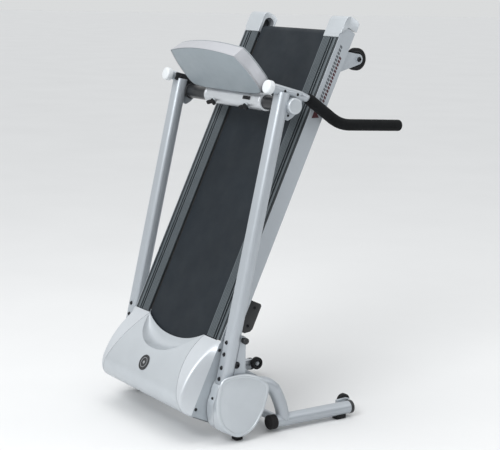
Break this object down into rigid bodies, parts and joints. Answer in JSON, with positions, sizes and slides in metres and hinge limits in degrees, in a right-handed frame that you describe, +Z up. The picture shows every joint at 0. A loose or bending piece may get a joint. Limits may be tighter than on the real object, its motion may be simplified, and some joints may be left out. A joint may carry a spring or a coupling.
{
  "type": "folding treadmill",
  "caption": "Home treadmill stored with its running deck folded up between leaning uprights, with handlebars, a tilting console and a moulded motor hood.",
  "frame": {"origin": "on the floor, below the middle of the folded machine's bounding box", "axes": "+Z up; +Y towards the runner, from the motor hood to the handlebar ends; +X across, to the side that carries the lock pin"},
  "size_m": [0.76, 0.8921, 1.4585],
  "materials": {
    "silver_paint": "satin silver powder coat",
    "silver_plastic": "satin silver moulding",
    "grey_plastic": "satin grey moulding",
    "dark_rail": "dark grey ribbed extrusion",
    "black_paint": "satin black powder coat",
    "black_plastic": "fine grained black",
    "belt_rubber": "fine textured running surface",
    "foam": "closed cell foam",
    "rubber": "matt rubber",
    "steel": "turned or pressed steel",
    "motor_paint": "black enamel",
    "controller_case": "plain box",
    "deck_board": "phenolic coated fibreboard",
    "display_glass": "tinted window",
    "red_plastic": "glossy red"
  },
  "bodies": {
    "base": {"base_leg_left": "silver_paint", "base_leg_right": "silver_paint", "upright_left": "silver_paint", "upright_right": "silver_paint", "foot_cover_outer_left": "silver_plastic", "foot_cover_outer_right": "silver_plastic", "foot_cover_inner_left": "silver_plastic", "foot_cover_inner_right": "silver_plastic", "front_foot_left": "rubber", "front_foot_right": "rubber", "rear_foot_left": "rubber", "rear_foot_right": "rubber", "tube_boot_left": "black_plastic", "tube_boot_right": "black_plastic", "crossbar_cap_left": "silver_plastic", "crossbar_cap_right": "silver_plastic", "handlebar_left": "silver_paint", "handlebar_right": "silver_paint", "handlebar_cap_left": "silver_plastic", "handlebar_cap_right": "silver_plastic", "grip_left": "foam", "grip_right": "foam", "cross_tube": "silver_paint", "crossbar": "black_paint"},
    "deck": {"side_member_left": "silver_paint", "side_member_right": "silver_paint", "foot_rail_left": "dark_rail", "foot_rail_right": "dark_rail", "end_cap_left": "silver_plastic", "end_cap_right": "silver_plastic", "hood_side_left": "silver_plastic", "hood_side_right": "silver_plastic", "wheel_bracket_left": "silver_paint", "wheel_bracket_right": "silver_paint", "deck_board": "deck_board", "running_belt": "belt_rubber", "hood": "silver_plastic", "motor_tray": "steel", "motor": "motor_paint", "drive_belt": "rubber", "motor_controller": "controller_case", "rear_cross_member": "steel", "lock_block": "black_plastic"},
    "front_roller": {"front_roller": "steel"},
    "rear_roller": {"rear_roller": "steel"},
    "motor_pulley": {"motor_pulley": "steel"},
    "console": {"console_sleeve": "silver_plastic", "console_back": "silver_plastic", "console_face": "grey_plastic", "display_window": "display_glass"},
    "start_button": {"start_stop_button": "red_plastic"},
    "speed_rocker": {"speed_rocker": "grey_plastic"},
    "safety_key": {"safety_key": "red_plastic"},
    "lock_pin": {"lock_pin": "black_plastic"},
    "deck_wheel_left": {"deck_wheel_left": "rubber"},
    "transport_wheel_left": {"transport_wheel_left": "rubber"},
    "clamp_knob_left": {"clamp_knob_left": "black_plastic"},
    "deck_wheel_right": {"deck_wheel_right": "rubber"},
    "transport_wheel_right": {"transport_wheel_right": "rubber"},
    "clamp_knob_right": {"clamp_knob_right": "black_plastic"}
  },
  "joints": [
    {"name": "deck_fold", "type": "hinge", "parent": "base", "child": "deck", "pos_m": [0, -0.2643, 0.14], "axis": [1, 0, 0], "range_deg": [-69.36, 0]},
    {"name": "front_roller_spin", "type": "hinge", "parent": "deck", "child": "front_roller", "pos_m": [0, -0.29398, 0.27097], "axis": [1, 0, 0], "continuous": true},
    {"name": "rear_roller_spin", "type": "hinge", "parent": "deck", "child": "rear_roller", "pos_m": [0, 0.21866, 1.38245], "axis": [1, 0, 0], "continuous": true},
    {"name": "motor_pulley_spin", "type": "hinge", "parent": "deck", "child": "motor_pulley", "pos_m": [0, -0.32715, 0.16513], "axis": [1, 0, 0], "continuous": true},
    {"name": "console_tilt", "type": "hinge", "parent": "base", "child": "console", "pos_m": [0, -0.0483, 1.159], "axis": [1, 0, 0], "range_deg": [-15, 20]},
    {"name": "start_button_press", "type": "slide", "parent": "console", "child": "start_button", "axis": [0, -0.766, -0.6428], "range_m": [0, 0.0025], "stiffness_N_per_m": 400, "springref_m": -0.001},
    {"name": "speed_rocker_tilt", "type": "hinge", "parent": "console", "child": "speed_rocker", "pos_m": [0.08, -0.08195, 1.27175], "axis": [0, -0.6428, 0.766], "range_deg": [-5, 5], "stiffness_Nm_per_rad": 0.3},
    {"name": "safety_key_pull", "type": "slide", "parent": "console", "child": "safety_key", "axis": [0, 0.766, 0.6428], "range_m": [0, 0.02]},
    {"name": "lock_pin_pull", "type": "slide", "parent": "base", "child": "lock_pin", "axis": [1, 0, 0], "range_m": [0, 0.012], "stiffness_N_per_m": 500, "springref_m": -0.006},
    {"name": "deck_wheel_left_spin", "type": "hinge", "parent": "deck", "child": "deck_wheel_left", "pos_m": [-0.2735, 0.28207, 1.30695], "axis": [1, 0, 0], "continuous": true},
    {"name": "transport_wheel_left_spin", "type": "hinge", "parent": "base", "child": "transport_wheel_left", "pos_m": [-0.288, 0.2592, 0.049], "axis": [1, 0, 0], "continuous": true},
    {"name": "clamp_knob_left_turn", "type": "hinge", "parent": "console", "child": "clamp_knob_left", "pos_m": [-0.108, -0.0483, 1.159], "axis": [0, -0.8192, -0.5736], "range_deg": [0, 360]},
    {"name": "deck_wheel_right_spin", "type": "hinge", "parent": "deck", "child": "deck_wheel_right", "pos_m": [0.2735, 0.28207, 1.30695], "axis": [1, 0, 0], "continuous": true},
    {"name": "transport_wheel_right_spin", "type": "hinge", "parent": "base", "child": "transport_wheel_right", "pos_m": [0.288, 0.2592, 0.049], "axis": [1, 0, 0], "continuous": true},
    {"name": "clamp_knob_right_turn", "type": "hinge", "parent": "console", "child": "clamp_knob_right", "pos_m": [0.108, -0.0483, 1.159], "axis": [0, -0.8192, -0.5736], "range_deg": [0, 360]}
  ],
  "couplings": [
    {"joint": "rear_roller_spin", "follows": "front_roller_spin", "ratio": 1},
    {"joint": "motor_pulley_spin", "follows": "front_roller_spin", "ratio": 2.5714}
  ]
}
